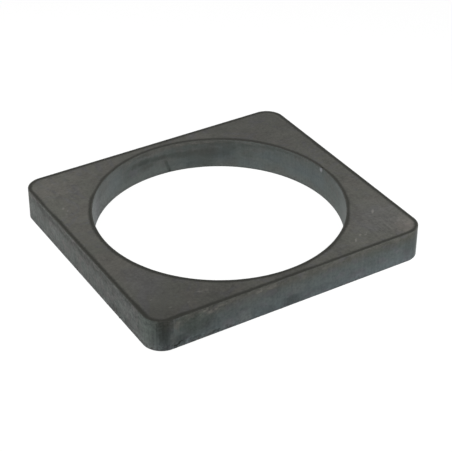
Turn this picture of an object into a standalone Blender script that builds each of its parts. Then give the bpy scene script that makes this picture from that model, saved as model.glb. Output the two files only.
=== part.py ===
"""Locking plate: one flat steel plate with a large round hole.

The plate is laser-cut from hot-rolled sheet. It is longer along X than along Y,
its four corners are rounded, and the hole in the middle leaves a narrow web along
each side. The cutting path is drawn flat, one loop for the outline and one for the
hole, and given the sheet's thickness, with every sharp edge broken to a small
radius. Two marks of the cut are then taken out of the hole's wall: the groove where
the beam ran in, and a chip in the top edge.

Metres, +Z up. The origin is the centre of the hole at the plate's underside.
"""

import math

import bmesh
import bpy
from mathutils import Matrix, Vector

# The hole, the webs round it and the sheet
HOLE_DIAMETER = 0.092
SIDE_WEB = 0.004
END_WEB = 0.009
SHEET_THICKNESS = 0.012
CORNER_RADIUS = 0.007
EDGE_RADIUS = 0.0004

# The groove where the beam ran in: deepest at the underside, fading out above it
LEAD_IN_ANGLE = math.radians(83.8)
LEAD_IN_LEAN = math.radians(17)
LEAD_IN_WIDTH = 0.0012
LEAD_IN_DEPTH = 0.00025
LEAD_IN_HEIGHT = 0.0065

# The chip in the top edge of the hole
CHIP_ANGLE = math.radians(2.3)
CHIP_LENGTH = 0.0016
CHIP_DEPTH = 0.0004

# How finely the round stretches are drawn
HOLE_SEGMENTS = 128
CORNER_SEGMENTS = 12
EDGE_SEGMENTS = 3
CUTTER_SEGMENTS = 24
SMOOTH_BELOW = math.radians(12)
WELD_DISTANCE = 0.000001

# Hot-rolled steel under its mill scale
STEEL_COLOUR = (0.098, 0.094, 0.086, 1)
STEEL_ROUGHNESS = 0.55
STEEL_METALLIC = 0.6

# Sizes that follow
HOLE_RADIUS = HOLE_DIAMETER / 2
PLATE_LENGTH = HOLE_DIAMETER + 2 * END_WEB
PLATE_WIDTH = HOLE_DIAMETER + 2 * SIDE_WEB
QUARTER_TURN = math.pi / 2
QUARTER_ARC_HANDLE = 4 / 3 * math.tan(math.pi / 8)


def clear_scene():
    """Remove whatever the scene holds."""
    for old in list(bpy.data.objects):
        bpy.data.objects.remove(old)


def new_collection(name):
    """A new collection in the scene."""
    collection = bpy.data.collections.new(name)
    bpy.context.scene.collection.children.link(collection)
    return collection


def hot_rolled_steel():
    """Dark grey steel, dull with mill scale."""
    material = bpy.data.materials.new("hot_rolled_steel")
    material.use_nodes = True
    shader = material.node_tree.nodes["Principled BSDF"]
    shader.inputs["Base Color"].default_value = STEEL_COLOUR
    shader.inputs["Roughness"].default_value = STEEL_ROUGHNESS
    shader.inputs["Metallic"].default_value = STEEL_METALLIC
    return material


def add_loop(curve, stations, segments):
    """Add a closed loop of quarter arcs and straight lines to a flat curve.

    Each station is an arc's centre, its radius, the angle of this point on it, and
    whether an arc comes before and after the point. Elsewhere the loop is straight.
    """
    spline = curve.splines.new("BEZIER")
    spline.bezier_points.add(len(stations) - 1)
    spline.use_cyclic_u = True
    spline.resolution_u = segments
    for point, (centre, radius, angle, arc_before, arc_after) in zip(spline.bezier_points, stations):
        outward = Vector((math.cos(angle), math.sin(angle), 0))
        handle = radius * QUARTER_ARC_HANDLE * Vector((-outward.y, outward.x, 0))
        point.co = centre + radius * outward
        point.handle_left_type = "FREE" if arc_before else "VECTOR"
        point.handle_right_type = "FREE" if arc_after else "VECTOR"
        point.handle_left = point.co - handle
        point.handle_right = point.co + handle


def outline_stations():
    """The outside of the plate: four rounded corners joined by straight sides.

    The wall bulges out from its path by the edge radius, so the path lies that far
    inside the steel.
    """
    centre_x = PLATE_LENGTH / 2 - CORNER_RADIUS
    centre_y = PLATE_WIDTH / 2 - CORNER_RADIUS
    radius = CORNER_RADIUS - EDGE_RADIUS
    stations = []
    for turn, (side_x, side_y) in enumerate(((1, 1), (-1, 1), (-1, -1), (1, -1))):
        centre = Vector((side_x * centre_x, side_y * centre_y, 0))
        stations.append((centre, radius, turn * QUARTER_TURN, False, True))
        stations.append((centre, radius, (turn + 1) * QUARTER_TURN, True, False))
    return stations


def hole_stations():
    """The hole: one full circle, which also lies the edge radius inside the steel."""
    centre = Vector((0, 0, 0))
    radius = HOLE_RADIUS + EDGE_RADIUS
    return [(centre, radius, turn * QUARTER_TURN, True, True) for turn in range(4)]


def cut_blank():
    """The plate as it leaves the sheet, with its edges broken."""
    curve = bpy.data.curves.new("cutting_path", "CURVE")
    curve.dimensions = "2D"
    curve.fill_mode = "BOTH"
    curve.extrude = SHEET_THICKNESS / 2 - EDGE_RADIUS
    curve.bevel_depth = EDGE_RADIUS
    curve.bevel_resolution = EDGE_SEGMENTS - 1
    add_loop(curve, outline_stations(), CORNER_SEGMENTS)
    add_loop(curve, hole_stations(), HOLE_SEGMENTS // 4)
    path = bpy.data.objects.new("cutting_path", curve)
    path.location.z = SHEET_THICKNESS / 2
    bpy.context.scene.collection.objects.link(path)
    bpy.context.view_layer.update()
    mesh = bpy.data.meshes.new_from_object(path.evaluated_get(bpy.context.evaluated_depsgraph_get()))
    mesh.name = "locking_plate"
    solid = bmesh.new()
    solid.from_mesh(mesh)
    bmesh.ops.remove_doubles(solid, verts=solid.verts, dist=WELD_DISTANCE)
    bmesh.ops.recalc_face_normals(solid, faces=solid.faces)
    solid.to_mesh(mesh)
    solid.free()
    plate = bpy.data.objects.new("locking_plate", mesh)
    plate.matrix_world = path.matrix_world
    bpy.data.objects.remove(path)
    return plate


def new_cutter(name, shape, place):
    """Turn a bmesh into a cutter object, which only marks where steel is taken away."""
    mesh = bpy.data.meshes.new(name)
    shape.to_mesh(mesh)
    shape.free()
    cutter = bpy.data.objects.new(name, mesh)
    cutter.matrix_world = place
    cutter.hide_render = True
    cutter.display_type = "WIRE"
    return cutter


def lead_in_cutter():
    """A leaning cone that grooves the hole's wall from the underside up.

    Its side stands the full depth inside the wall at the underside and leaves the
    wall at the groove's height. It overruns both ends to cut them cleanly.
    """
    bottom_radius = (LEAD_IN_WIDTH**2 / 4 + LEAD_IN_DEPTH**2) / (2 * LEAD_IN_DEPTH)
    growth = LEAD_IN_DEPTH / LEAD_IN_HEIGHT
    overrun = LEAD_IN_HEIGHT / 4
    shape = bmesh.new()
    bmesh.ops.create_cone(
        shape,
        cap_ends=True,
        segments=CUTTER_SEGMENTS,
        radius1=bottom_radius + growth * overrun,
        radius2=bottom_radius - growth * (LEAD_IN_HEIGHT + overrun),
        depth=LEAD_IN_HEIGHT + 2 * overrun,
        matrix=Matrix.Translation((0, 0, LEAD_IN_HEIGHT / 2)),
    )
    place = (
        Matrix.Rotation(LEAD_IN_ANGLE, 4, "Z")
        @ Matrix.Translation((HOLE_RADIUS + LEAD_IN_DEPTH - bottom_radius, 0, 0))
        @ Matrix.Rotation(-LEAD_IN_LEAN, 4, "X")
    )
    return new_cutter("lead_in_cutter", shape, place)


def chip_cutter():
    """A ball that bites into the top edge of the hole, half from above and half from the side."""
    radius = (CHIP_LENGTH**2 / 4 + CHIP_DEPTH**2) / (2 * CHIP_DEPTH)
    shape = bmesh.new()
    bmesh.ops.create_uvsphere(
        shape,
        u_segments=CUTTER_SEGMENTS,
        v_segments=CUTTER_SEGMENTS // 2,
        radius=radius,
    )
    offset = (radius - CHIP_DEPTH) / math.sqrt(2)
    place = Matrix.Rotation(CHIP_ANGLE, 4, "Z") @ Matrix.Translation(
        (HOLE_RADIUS - offset, 0, SHEET_THICKNESS + offset)
    )
    return new_cutter("chip_cutter", shape, place)


def cut(plate, cutter):
    """Take a cutter out of the plate."""
    boolean = plate.modifiers.new(cutter.name, "BOOLEAN")
    boolean.operation = "DIFFERENCE"
    boolean.solver = "EXACT"
    boolean.object = cutter


def shade(plate):
    """Round walls are shaded smooth, and the flat faces stay flat."""
    plate.data.shade_smooth()
    plate.data.set_sharp_from_angle(angle=SMOOTH_BELOW)


def build_locking_plate():
    """Cut the blank, mark its hole and give it its steel."""
    clear_scene()
    parts = new_collection("locking_plate")
    cutters = new_collection("locking_plate_cutters")
    plate = cut_blank()
    parts.objects.link(plate)
    for cutter in (lead_in_cutter(), chip_cutter()):
        cutters.objects.link(cutter)
        cut(plate, cutter)
    shade(plate)
    plate.data.materials.clear()
    plate.data.materials.append(hot_rolled_steel())


build_locking_plate()
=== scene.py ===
"""The looks of the locking plate: its cut and rolled surfaces, a pale floor, studio light and a camera."""

import math

import bmesh
import bpy
from mathutils import Matrix, Vector


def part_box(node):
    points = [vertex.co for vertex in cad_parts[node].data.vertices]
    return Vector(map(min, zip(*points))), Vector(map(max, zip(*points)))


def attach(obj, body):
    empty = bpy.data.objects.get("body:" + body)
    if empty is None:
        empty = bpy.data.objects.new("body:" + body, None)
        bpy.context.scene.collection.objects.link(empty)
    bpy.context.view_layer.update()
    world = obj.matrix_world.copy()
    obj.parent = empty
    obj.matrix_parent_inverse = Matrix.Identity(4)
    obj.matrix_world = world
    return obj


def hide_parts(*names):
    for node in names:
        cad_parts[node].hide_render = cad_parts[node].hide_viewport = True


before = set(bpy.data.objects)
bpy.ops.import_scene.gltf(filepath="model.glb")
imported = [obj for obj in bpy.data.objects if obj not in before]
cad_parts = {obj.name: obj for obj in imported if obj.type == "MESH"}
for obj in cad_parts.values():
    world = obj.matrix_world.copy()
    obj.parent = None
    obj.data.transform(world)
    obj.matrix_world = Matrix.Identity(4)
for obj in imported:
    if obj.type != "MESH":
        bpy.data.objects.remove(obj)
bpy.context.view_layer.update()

# THE PLATE'S BODY
# One piece of 12 mm hot-rolled steel sheet, cut by laser round its outline and its hole.
# The cut leaves upright ripples on the walls, a groove where the beam ran in, and a chip in the rim.

MM = 0.001
plate_low, plate_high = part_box("locking_plate")
# The cut faces stand a little proud of their nominal places, and a little more towards the foot
CUT_ALLOWANCE = 0.18 * MM
CUT_TAPER = 0.03 * MM
PLATE_LENGTH = plate_high.x - plate_low.x + 2 * CUT_ALLOWANCE
PLATE_WIDTH = plate_high.y - plate_low.y + 2 * CUT_ALLOWANCE
THICKNESS = plate_high.z - plate_low.z
HOLE_RADIUS = 46 * MM - CUT_ALLOWANCE
CORNER_RADIUS = 7 * MM + CUT_ALLOWANCE
EDGE_RADIUS = 0.12 * MM

COLUMNS = 1600
CORNER_STEPS = 40
EDGE_ROWS = 3
WALL_ROWS = 12
TOP_ROWS = 15
UNDERSIDE_ROWS = 8
WELD_DISTANCE = 0.002 * MM

RIPPLE_SIZES = (0.75 * MM, 0.75 * MM, 22 * MM)
RIPPLE_DEPTH = 0.07 * MM
RIPPLE_DRAG = 0.9 * MM
SCALE_RELIEF = 0.04 * MM
SCALE_RELIEF_SIZE = 6 * MM
NICK_DEPTH = 0.06 * MM
NICK_SIZE = 1.6 * MM

LEAD_IN_ANGLE = math.radians(83.8)
LEAD_IN_LEAN = math.radians(17)
LEAD_IN_HALF_WIDTH = 0.8 * MM
LEAD_IN_DEPTH = 0.25 * MM
LEAD_IN_HEIGHT = 6 * MM
CHIP_ANGLE = math.radians(2.3)
CHIP_HALF_LENGTH = 0.8 * MM
CHIP_DEPTH = 0.35 * MM


def add(tree, kind, inputs=(), **settings):
    """A node with its settings, and each (socket, value) pair set or linked."""
    node = tree.nodes.new(kind)
    for name, value in settings.items():
        setattr(node, name, value)
    for socket, value in inputs:
        if isinstance(value, bpy.types.NodeSocket):
            tree.links.new(value, node.inputs[socket])
        else:
            node.inputs[socket].default_value = value
    return node


def number(tree, operation, *values):
    """The output of a Math node on numbers or number fields."""
    return add(tree, "ShaderNodeMath", enumerate(values), operation=operation).outputs[0]


def vector(tree, operation, *values):
    """The output of a Vector Math node."""
    node = add(tree, "ShaderNodeVectorMath", enumerate(values), operation=operation)
    return node.outputs["Value" if operation in ("LENGTH", "DOT_PRODUCT", "DISTANCE") else "Vector"]


def stretch(tree, direction, length):
    """A direction or a colour times a number field."""
    node = add(tree, "ShaderNodeVectorMath", [(0, direction), ("Scale", length)], operation="SCALE")
    return node.outputs[0]


def along(tree, x=0.0, y=0.0, z=0.0):
    """A vector made of three numbers or number fields."""
    return add(tree, "ShaderNodeCombineXYZ", [("X", x), ("Y", y), ("Z", z)]).outputs[0]


def split(tree, place):
    """The X, Y and Z of a vector."""
    return add(tree, "ShaderNodeSeparateXYZ", [(0, place)]).outputs


def ramp(tree, value, low, high, at_low=0.0, at_high=1.0, smooth=False):
    """A value carried from one range to another and held at its ends."""
    node = add(
        tree,
        "ShaderNodeMapRange",
        [("Value", value), ("From Min", low), ("From Max", high), ("To Min", at_low), ("To Max", at_high)],
        interpolation_type="SMOOTHSTEP" if smooth else "LINEAR",
    )
    return node.outputs["Result"]


def noise(tree, place, sizes, detail=2.0, roughness=0.5, output="Fac"):
    """Smooth noise from 0 to 1, with lumps of one size, or of three along X, Y and Z."""
    lumps = vector(tree, "DIVIDE", place, sizes if isinstance(sizes, tuple) else (sizes,) * 3)
    pairs = [("Vector", lumps), ("Scale", 1.0), ("Detail", detail), ("Roughness", roughness)]
    return add(tree, "ShaderNodeTexNoise", pairs).outputs[output]


def node_tree(name, sizes):
    """An empty Geometry Nodes tree with a number input for each named size."""
    tree = bpy.data.node_groups.new(name, "GeometryNodeTree")
    tree.interface.new_socket("Geometry", in_out="INPUT", socket_type="NodeSocketGeometry")
    tree.interface.new_socket("Geometry", in_out="OUTPUT", socket_type="NodeSocketGeometry")
    for label, value in sizes.items():
        kind = "NodeSocketInt" if isinstance(value, int) else "NodeSocketFloat"
        tree.interface.new_socket(label, in_out="INPUT", socket_type=kind).default_value = value
    return tree, tree.nodes.new("NodeGroupInput").outputs, tree.nodes.new("NodeGroupOutput").inputs


def grown(name, tree, sizes):
    """The plain mesh that a tree makes, as an object at the origin with no modifier left."""
    start = bpy.data.objects.new(name + "_start", bpy.data.meshes.new(name + "_start"))
    bpy.context.scene.collection.objects.link(start)
    modifier = start.modifiers.new("tree", "NODES")
    modifier.node_group = tree
    for item in tree.interface.items_tree:
        if item.in_out == "INPUT" and item.name in sizes:
            modifier[item.identifier] = sizes[item.name]
    bpy.context.view_layer.update()
    evaluated = start.evaluated_get(bpy.context.evaluated_depsgraph_get())
    mesh = bpy.data.meshes.new_from_object(evaluated)
    mesh.name = name
    bpy.data.objects.remove(start)
    piece = bpy.data.objects.new(name, mesh)
    bpy.context.scene.collection.objects.link(piece)
    return piece


def outline_path(tree, size, margin):
    """The plate's outline as a closed curve, drawn a margin inside its edge."""
    both = number(tree, "MULTIPLY", margin, 2.0)
    length = number(tree, "SUBTRACT", size["Length"], both)
    width = number(tree, "SUBTRACT", size["Width"], both)
    pairs = [("Width", length), ("Height", width)]
    square = add(tree, "GeometryNodeCurvePrimitiveQuadrilateral", pairs).outputs[0]
    radius = number(tree, "SUBTRACT", size["Corner Radius"], margin)
    pairs = [("Curve", square), ("Count", CORNER_STEPS), ("Radius", radius)]
    rounded = add(tree, "GeometryNodeFilletCurve", pairs, mode="POLY").outputs[0]
    return add(tree, "GeometryNodeResampleCurve", [("Curve", rounded), ("Count", size["Columns"])]).outputs[0]


def outline_facing(tree, size, point):
    """The way the outer wall faces at a point of the outline."""
    half_x = number(tree, "SUBTRACT", number(tree, "MULTIPLY", size["Length"], 0.5), size["Corner Radius"])
    half_y = number(tree, "SUBTRACT", number(tree, "MULTIPLY", size["Width"], 0.5), size["Corner Radius"])
    reach = along(tree, half_x, half_y)
    below = vector(tree, "MINIMUM", point, reach)
    centre = vector(tree, "MAXIMUM", below, stretch(tree, reach, -1.0))
    return vector(tree, "NORMALIZE", vector(tree, "SUBTRACT", point, centre))


mill_scale = bpy.data.materials.new("mill_scale")
outer_oxide = bpy.data.materials.new("outer_wall_oxide")
hole_oxide = bpy.data.materials.new("hole_wall_oxide")

plate_sizes = {
    "Length": PLATE_LENGTH,
    "Width": PLATE_WIDTH,
    "Thickness": THICKNESS,
    "Hole Radius": HOLE_RADIUS,
    "Corner Radius": CORNER_RADIUS,
    "Edge Radius": EDGE_RADIUS,
    "Columns": COLUMNS,
    "Edge Rows": EDGE_ROWS,
    "Wall Rows": WALL_ROWS,
}
body, size, body_end = node_tree("plate_body", plate_sizes)
edge = size["Edge Radius"]
path = outline_path(body, size, edge)
position = body.nodes.new("GeometryNodeInputPosition").outputs[0]
rim_radius = number(body, "ADD", size["Hole Radius"], edge)


def column_and_row(columns, rows):
    """A flat grid, with each point's column number and its row."""
    down = number(body, "ADD", rows, 1.0)
    across = number(body, "ADD", columns, 1.0)
    pairs = [("Size X", 1.0), ("Size Y", 1.0), ("Vertices X", across), ("Vertices Y", down)]
    grid = add(body, "GeometryNodeMeshGrid", pairs).outputs["Mesh"]
    index = body.nodes.new("GeometryNodeInputIndex").outputs[0]
    column = number(body, "FLOOR", number(body, "DIVIDE", number(body, "ADD", index, 0.5), down))
    row = number(body, "FLOORED_MODULO", index, down)
    wrapped = number(body, "FLOORED_MODULO", number(body, "ADD", column, 0.25), columns)
    return grid, number(body, "FLOOR", wrapped), row


def skin(grid, place, facing, material):
    """A strip of the plate's skin: a grid moved into place, which keeps the way its steel faces."""
    moved = add(body, "GeometryNodeSetPosition", [("Geometry", grid), ("Position", place)]).outputs[0]
    kept = add(
        body,
        "GeometryNodeStoreNamedAttribute",
        [("Geometry", moved), ("Name", "facing"), ("Value", facing)],
        data_type="FLOAT_VECTOR",
        domain="POINT",
    ).outputs[0]
    return add(body, "GeometryNodeSetMaterial", [("Geometry", kept), ("Material", material)]).outputs[0]


def path_point(column):
    """The point of the outline's path at a column."""
    pairs = [("Geometry", path), ("Value", position), ("Index", column)]
    return add(body, "GeometryNodeSampleIndex", pairs, data_type="FLOAT_VECTOR", domain="POINT").outputs[0]


def outline_side(column):
    """The path's point at a column and the way the outer wall faces there."""
    point = path_point(column)
    return point, outline_facing(body, size, point)


def hole_side(column):
    """The hole's rim, straight inwards from the path's point, and the way its wall faces."""
    out = vector(body, "NORMALIZE", path_point(column))
    return stretch(body, out, rim_radius), stretch(body, out, -1.0)


def wall_strip(side, material):
    """A wall with its two edges, from the top face's rim to the underside's."""
    lower = number(body, "ADD", size["Edge Rows"], size["Wall Rows"])
    rows = number(body, "ADD", lower, size["Edge Rows"])
    grid, column, row = column_and_row(size["Columns"], rows)
    point, out = side(column)
    top_turn = ramp(body, row, 0.0, size["Edge Rows"], math.pi / 2, 0.0)
    under_turn = ramp(body, row, lower, rows, 0.0, -math.pi / 2)
    turn = number(body, "ADD", top_turn, under_turn)
    below_edge = number(body, "SUBTRACT", size["Thickness"], edge)
    straight = ramp(body, row, size["Edge Rows"], lower, below_edge, edge)
    rise = number(body, "SINE", turn)
    height = number(body, "ADD", straight, number(body, "MULTIPLY", edge, rise))
    reach = stretch(body, out, number(body, "COSINE", turn))
    base = vector(body, "ADD", point, stretch(body, reach, edge))
    place = vector(body, "ADD", base, along(body, z=height))
    return skin(grid, place, vector(body, "ADD", reach, along(body, z=rise)), material)


def face_strip(rows, height, facing):
    """A rolled face, from the hole's rim out to the outline's, with its rows closest at the rims."""
    grid, column, row = column_and_row(size["Columns"], float(rows))
    turned = number(body, "COSINE", number(body, "MULTIPLY", row, math.pi / rows))
    share = number(body, "MULTIPLY", number(body, "SUBTRACT", 1.0, turned), 0.5)
    inner, _ = hole_side(column)
    outward = stretch(body, vector(body, "SUBTRACT", path_point(column), inner), share)
    place = vector(body, "ADD", vector(body, "ADD", inner, outward), along(body, z=height))
    return skin(grid, place, (0.0, 0.0, facing), mill_scale)


joined = body.nodes.new("GeometryNodeJoinGeometry")
for strip in (
    wall_strip(outline_side, outer_oxide),
    wall_strip(hole_side, hole_oxide),
    face_strip(TOP_ROWS, size["Thickness"], 1.0),
    face_strip(UNDERSIDE_ROWS, 0.0, -1.0),
):
    body.links.new(strip, joined.inputs[0])
pairs = [("Geometry", joined.outputs[0]), ("Distance", WELD_DISTANCE)]
welded = add(body, "GeometryNodeMergeByDistance", pairs).outputs[0]

pairs = [("Name", "facing")]
facing = add(body, "GeometryNodeInputNamedAttribute", pairs, data_type="FLOAT_VECTOR").outputs["Attribute"]
flatness = number(body, "ABSOLUTE", split(body, facing)["Z"])
on_wall = ramp(body, flatness, 0.0, 0.9, 1.0, 0.0)
on_edge = number(body, "MULTIPLY", ramp(body, flatness, 0.0, 0.5), ramp(body, flatness, 0.75, 1.0, 1.0, 0.0))
height = split(body, position)["Z"]
depth_share = ramp(body, height, size["Thickness"], 0.0)

drag_length = number(body, "MULTIPLY", number(body, "POWER", depth_share, 2.0), RIPPLE_DRAG)
drag = stretch(body, vector(body, "CROSS_PRODUCT", facing, (0.0, 0.0, 1.0)), drag_length)
dragged = vector(body, "ADD", position, drag)
ripples = noise(body, dragged, RIPPLE_SIZES, 2.0, 0.6)
ripple_depth = ramp(body, depth_share, 0.1, 0.9, 0.3 * RIPPLE_DEPTH, RIPPLE_DEPTH)
ripple_relief = number(body, "MULTIPLY", number(body, "SUBTRACT", ripples, 0.5), ripple_depth)
ripple_relief = number(body, "MULTIPLY", ripple_relief, on_wall)
scale_lumps = noise(body, position, SCALE_RELIEF_SIZE, 3.0, 0.5)
scale_relief = number(body, "MULTIPLY", number(body, "SUBTRACT", scale_lumps, 0.5), SCALE_RELIEF)
nicks = ramp(body, noise(body, position, NICK_SIZE, 3.0, 0.6), 0.5, 0.8)
nick_relief = number(body, "MULTIPLY", number(body, "MULTIPLY", nicks, on_edge), -NICK_DEPTH)
taper_relief = number(body, "MULTIPLY", number(body, "MULTIPLY", depth_share, on_wall), CUT_TAPER)

lead_in_out = (math.cos(LEAD_IN_ANGLE), math.sin(LEAD_IN_ANGLE), 0.0)
lead_in_side = (-math.sin(LEAD_IN_ANGLE), math.cos(LEAD_IN_ANGLE), 0.0)
lean = number(body, "MULTIPLY", height, -math.tan(LEAD_IN_LEAN))
off_groove = number(body, "ADD", vector(body, "DOT_PRODUCT", position, lead_in_side), lean)
off_share = number(body, "DIVIDE", off_groove, LEAD_IN_HALF_WIDTH)
groove = number(body, "MAXIMUM", number(body, "SUBTRACT", 1.0, number(body, "POWER", off_share, 2.0)), 0.0)
groove = number(body, "MULTIPLY", groove, ramp(body, height, 0.3 * LEAD_IN_HEIGHT, LEAD_IN_HEIGHT, 1.0, 0.0))
in_hole = number(body, "LESS_THAN", vector(body, "DOT_PRODUCT", facing, lead_in_out), -0.1)
far_side = number(body, "GREATER_THAN", vector(body, "DOT_PRODUCT", position, lead_in_out), 0.0)
groove = number(body, "MULTIPLY", number(body, "MULTIPLY", groove, in_hole), far_side)
groove_relief = number(body, "MULTIPLY", groove, -LEAD_IN_DEPTH)

chip_centre = (HOLE_RADIUS * math.cos(CHIP_ANGLE), HOLE_RADIUS * math.sin(CHIP_ANGLE), THICKNESS)
chip_share = number(body, "DIVIDE", vector(body, "DISTANCE", position, chip_centre), CHIP_HALF_LENGTH)
chip = number(body, "MAXIMUM", number(body, "SUBTRACT", 1.0, number(body, "POWER", chip_share, 2.0)), 0.0)
chip_relief = number(body, "MULTIPLY", chip, -CHIP_DEPTH)

relief = ripple_relief
for part in (scale_relief, nick_relief, taper_relief, groove_relief, chip_relief):
    relief = number(body, "ADD", relief, part)
pairs = [("Geometry", welded), ("Offset", stretch(body, facing, relief))]
shaped = add(body, "GeometryNodeSetPosition", pairs).outputs[0]

on_rim = stretch(body, vector(body, "NORMALIZE", position), rim_radius)
hole_rim = add(body, "GeometryNodeSetPosition", [("Geometry", path), ("Position", on_rim)]).outputs[0]
rims = body.nodes.new("GeometryNodeJoinGeometry")
for rim in (path, hole_rim):
    body.links.new(add(body, "GeometryNodeCurveToMesh", [("Curve", rim)]).outputs[0], rims.inputs[0])
flat_place = vector(body, "MULTIPLY", position, (1.0, 1.0, 0.0))
pairs = [("Target", rims.outputs[0]), ("Source Position", flat_place)]
rim_distance = add(body, "GeometryNodeProximity", pairs, target_element="EDGES").outputs["Distance"]
measured = add(
    body,
    "GeometryNodeStoreNamedAttribute",
    [("Geometry", shaped), ("Name", "rim_distance"), ("Value", rim_distance)],
    data_type="FLOAT",
    domain="POINT",
).outputs[0]
smooth = add(body, "GeometryNodeSetShadeSmooth", [("Geometry", measured)]).outputs[0]
whole = add(body, "GeometryNodeRealizeInstances", [("Geometry", smooth)]).outputs[0]
body.links.new(whole, body_end["Geometry"])

plate = grown("steel_plate", body, plate_sizes)
shell = bmesh.new()
shell.from_mesh(plate.data)
bmesh.ops.recalc_face_normals(shell, faces=shell.faces)
shell.to_mesh(plate.data)
shell.free()
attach(plate, "root")
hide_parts("locking_plate")

# THE ROLLED FACES
# Both faces keep the dull grey scale of the rolling mill, mottled and with a few bright rubs.
# Broad patches, partly the scale's own tone and partly painted light and shade, darken the top towards the
# near corner and its opposite and lighten it towards the other two.
# Heat from the cut has burnt a dark band about a millimetre wide along every edge.

SCALE_ROUGHNESS = 0.42
SCALE_GLOSS = 0.2
SCALE_OLIVE = (0.067, 0.0675, 0.058, 1)
SCALE_BROWN = (0.0695, 0.067, 0.059, 1)
SCALE_VIOLET = (0.0648, 0.0642, 0.0622, 1)
SCALE_RUST = (0.076, 0.067, 0.060, 1)
BURNT_EDGE = (0.0122, 0.0126, 0.0088, 1)
RUBBED_SCALE = (0.185, 0.180, 0.165, 1)
BURNT_FROM, BURNT_TO = 1.95 * MM, 0.8 * MM
TONE_SIZE, TONE_SHADE = 12 * MM, 0.10
MOTTLE_SIZE, MOTTLE_SHADE = 3.4 * MM, 0.22
GRAIN_SIZE, GRAIN_SHADE = 1.1 * MM, 0.25
ROLLING_SIZES, ROLLING_SHADE = (1.2 * MM, 26 * MM, 26 * MM), 0.05
SCALE_HUE_SIZES = (11 * MM, 11 * MM, 20 * MM)
VIOLET_SIZES = (9 * MM, 9 * MM, 20 * MM)
VIOLET_LUMP, VIOLET_WANDER = 60 * MM, 300 * MM
RUB_LUMP, RUB_WANDER = 0.9 * MM, 0.9 * MM
RAGGED_SIZE, RAGGED_REACH = 0.9 * MM, 0.4 * MM
RIM_FADE_WIDTH, RIM_FADE = 0.55 * MM, 0.56
BUMP_DISTANCE = 0.1 * MM
# How far below the top face its broad tones reach
TONE_DEPTH = 20 * MM

# Each is X, Y, half length and half width in millimetres, how strongly and softly it shows, and its colour
SCALE_TONES = (
    (-46, -28, 9, 14, 0.8, 0.8, SCALE_VIOLET),
    (44, -36, 15, 15, 0.6, 0.8, SCALE_VIOLET),
    (50, -46, 9, 7, 0.5, 0.9, SCALE_RUST),
)
# Each is X, Y, half length and half width in millimetres, its turn in degrees, and how strongly it shows
SCALE_RUBS = (
    (-49.5, 26.8, 1.1, 0.7, 60, 0.45),
    (-48.7, 24.6, 0.9, 0.5, 60, 0.35),
    (-50, 22.8, 1.2, 0.5, 80, 0.2),
    (-32.7, -41.3, 1.8, 0.6, -20, 0.3),
    (-30, -42, 1.2, 0.5, -20, 0.2),
    (-48.6, -37.2, 0.6, 0.5, 0, 0.26),
    (-45.2, -44, 0.8, 0.6, 0, 0.22),
    (-38.5, -44.5, 1, 0.5, 20, 0.14),
    (45, -32, 2, 0.6, 50, 0.66),
    (41.5, -37.6, 1.2, 0.5, 50, 0.14),
    (47.3, -39.8, 1.1, 0.5, 50, 0.18),
    (29.2, -43.8, 1.6, 0.6, 50, 0.52),
    (32.4, -41.8, 1, 0.5, 40, 0.44),
    (34.1, -42.7, 1, 0.5, 10, 0.44),
    (35.3, -41.9, 0.7, 0.4, 60, 0.3),
    (41.3, -41.5, 6, 0.30, 90, 0.16),
    (42.7, -42.5, 5.5, 0.25, 90, 0.14),
    (44.2, -42.5, 5, 0.30, 90, 0.16),
    (50.5, -43, 2, 0.4, 80, 0.14),
    (-36.5, 44.3, 2.6, 1.4, 20, 0.14),
    (-41.8, 42, 1.4, 0.8, 60, 0.14),
    (-47, 36.5, 2.4, 0.9, 60, 0.12),
    (-43.5, 36, 1.4, 0.7, 70, 0.12),
    (-39.6, 39.8, 1.2, 0.6, 30, 0.12),
    (-50.6, 33, 1.6, 0.6, 75, 0.1),
    (-51, -8, 2.4, 0.6, 80, 0.07),
    (50.6, 33.5, 1.6, 0.6, 70, 0.08),
)
SCALE_PITS = (
    (43.4, -35.3, 0.9, 0.5, 30, 0.36),
    (42.4, -36.1, 0.6, 0.4, 30, 0.28),
    (33.3, -42.2, 0.6, 0.4, 0, 0.3),
    (40.3, -38.8, 0.7, 0.3, 60, 0.22),
)
# The same, with how many millimetres narrower (or wider) the burnt band is there
BURNT_REACH = (
    (47.3, 0, 9, 4, 90, 0.28),
    (45.2, -13.8, 9, 4, 73, 0.26),
    (38.7, -27.1, 9, 4, 55, 0.28),
    (25.8, -39.7, 9, 4, 33, 0.32),
    (12.2, -45.7, 7, 2.6, 15, 0.35),
    (0, -46.8, 9, 2.2, 0, 0.4),
    (-12, -45.6, 6, 2.4, -15, 0.22),
    (-31.4, -35.2, 8, 3, -42, 0.15),
    (-47.3, 0, 7, 3, 90, 0.2),
    (-41, 23.6, 6, 3, 60, 0.16),
    (-33.4, 33.4, 8, 3.5, 45, 0.5),
    (-23.6, 41, 7, 3.2, 30, 0.22),
    (33.4, 33.4, 22, 6, -45, -0.34),
    (-54, -40, 8, 4, 90, -0.4),
    (-44, -49, 8, 4, 0, -0.5),
    (-34, -49, 7, 3.5, 0, -0.2),
    (-54, 20, 6, 3, 90, -0.22),
    (-54, 30, 6, 3, 90, 0.3),
    (54, -25, 9, 3, 90, 0.12),
    (54, 15, 9, 3.5, 90, -0.28),
    (10, -49.2, 6, 2.2, 0, 0.28),
    (20, -49.2, 6, 2.6, 0, 0.12),
)
# Each is X, Y and radius in millimetres, and how much coarser or finer the scale's mottle is there
SCALE_COARSENESS = (
    (46, -42, 17, 0.6),
    (-46, 41, 14, 0.35),
    (-46, -42, 18, -0.42),
    (-50, 0, 26, -0.3),
)
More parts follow.
